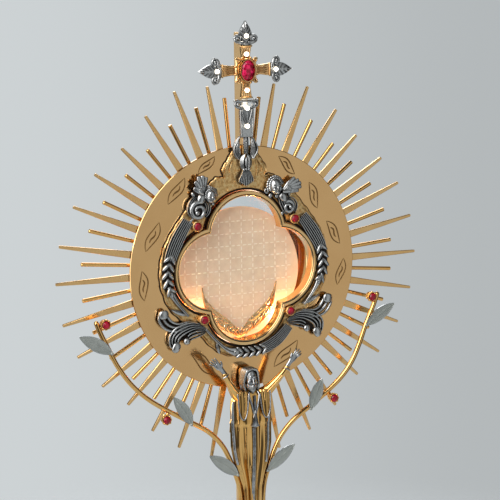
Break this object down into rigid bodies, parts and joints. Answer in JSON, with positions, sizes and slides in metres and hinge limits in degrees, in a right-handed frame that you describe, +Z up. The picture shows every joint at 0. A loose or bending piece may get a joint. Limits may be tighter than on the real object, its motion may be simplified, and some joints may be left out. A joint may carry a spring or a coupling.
{
  "type": "monstrance",
  "caption": "Standing altar monstrance: domed base, robed figure with raised arms, sunburst disc, glazed quatrefoil window with a host, vine branches, lit jewelled cross.",
  "frame": {"origin": "centre of the base's underside, on the table", "axes": "+Z up along the stem, front towards -Y, +X to the viewer's right"},
  "size_m": [0.438, 0.204, 0.7275],
  "materials": {
    "gilt_brass": "gilt, satin to polished",
    "silver": "silver plate, darkened in the hollows",
    "red_stone": "polished red glass stone",
    "clear_glass": "clear flat glass",
    "steel": "plain machined steel",
    "dark_plastic": "matt black moulding",
    "cell_jacket": "printed metal jacket, no marks",
    "lamp_plastic": "warm white light board with domed lamps",
    "wafer": "pale unleavened altar bread, matt"
  },
  "bodies": {
    "stand": {"base_foot": "gilt_brass", "base_plate": "steel", "battery_box": "dark_plastic", "battery_cells": "cell_jacket", "branch_leaf_left_1": "silver", "branch_leaf_left_2": "silver", "branch_leaf_left_3": "silver", "branch_leaf_right_1": "silver", "branch_leaf_right_2": "silver", "branch_leaf_right_3": "silver", "branch_left": "gilt_brass", "branch_right": "gilt_brass", "branch_stone_left_1": "red_stone", "branch_stone_left_2": "red_stone", "branch_stone_right_1": "red_stone", "branch_stone_right_2": "red_stone", "capital": "gilt_brass", "cast_frame": "gilt_brass", "cherub_left": "silver", "cherub_right": "silver", "cross_body": "gilt_brass", "cross_lamps": "lamp_plastic", "cross_post": "gilt_brass", "cross_ruby": "red_stone", "cross_shaft": "silver", "cross_tip_left": "silver", "cross_tip_right": "silver", "cross_tip_top": "silver", "figure_hand_left": "silver", "figure_hand_right": "silver", "figure_head": "silver", "figure_robe": "gilt_brass", "hinge_pin": "steel", "knop": "gilt_brass", "light_ring": "lamp_plastic", "long_rays": "gilt_brass", "luna_case": "gilt_brass", "scroll_left": "silver", "scroll_right": "silver", "short_rays": "gilt_brass", "spine": "gilt_brass", "sun_disc": "gilt_brass", "tie_bolt": "steel", "wheat_ear_bottom": "silver", "wheat_ear_left": "silver", "wheat_ear_right": "silver", "window_bezel": "gilt_brass", "window_glass": "clear_glass", "window_stone_lower_left": "red_stone", "window_stone_lower_right": "red_stone", "window_stone_upper_left": "red_stone", "window_stone_upper_right": "red_stone"},
    "door": {"rear_door": "gilt_brass", "rear_glass": "clear_glass"},
    "catch": {"door_catch": "gilt_brass"},
    "luna": {"lunette": "gilt_brass", "host": "wafer"},
    "clip": {"lunette_clip": "gilt_brass"},
    "cover": {"battery_cover": "dark_plastic"},
    "switch": {"power_switch": "dark_plastic"}
  },
  "joints": [
    {"name": "rear_door_hinge", "type": "hinge", "parent": "stand", "child": "door", "pos_m": [0.0955, 0.058, 0.455], "axis": [0, 0, -1], "range_deg": [0, 130]},
    {"name": "door_catch_turn", "type": "hinge", "parent": "door", "child": "catch", "pos_m": [-0.0847, 0.0596, 0.455], "axis": [0, -1, 0], "range_deg": [0, 90]},
    {"name": "luna_slide", "type": "slide", "parent": "stand", "child": "luna", "axis": [0, 1, 0], "range_m": [0, 0.016]},
    {"name": "lunette_clip_hinge", "type": "hinge", "parent": "luna", "child": "clip", "pos_m": [0, 0.0316, 0.374], "axis": [-1, 0, 0], "range_deg": [0, 60]},
    {"name": "battery_cover_hinge", "type": "hinge", "parent": "stand", "child": "cover", "pos_m": [0, 0.0144, 0.0008], "axis": [-1, 0, 0], "range_deg": [0, 110]},
    {"name": "power_switch_slide", "type": "slide", "parent": "stand", "child": "switch", "axis": [1, 0, 0], "range_m": [0, 0.005]}
  ]
}
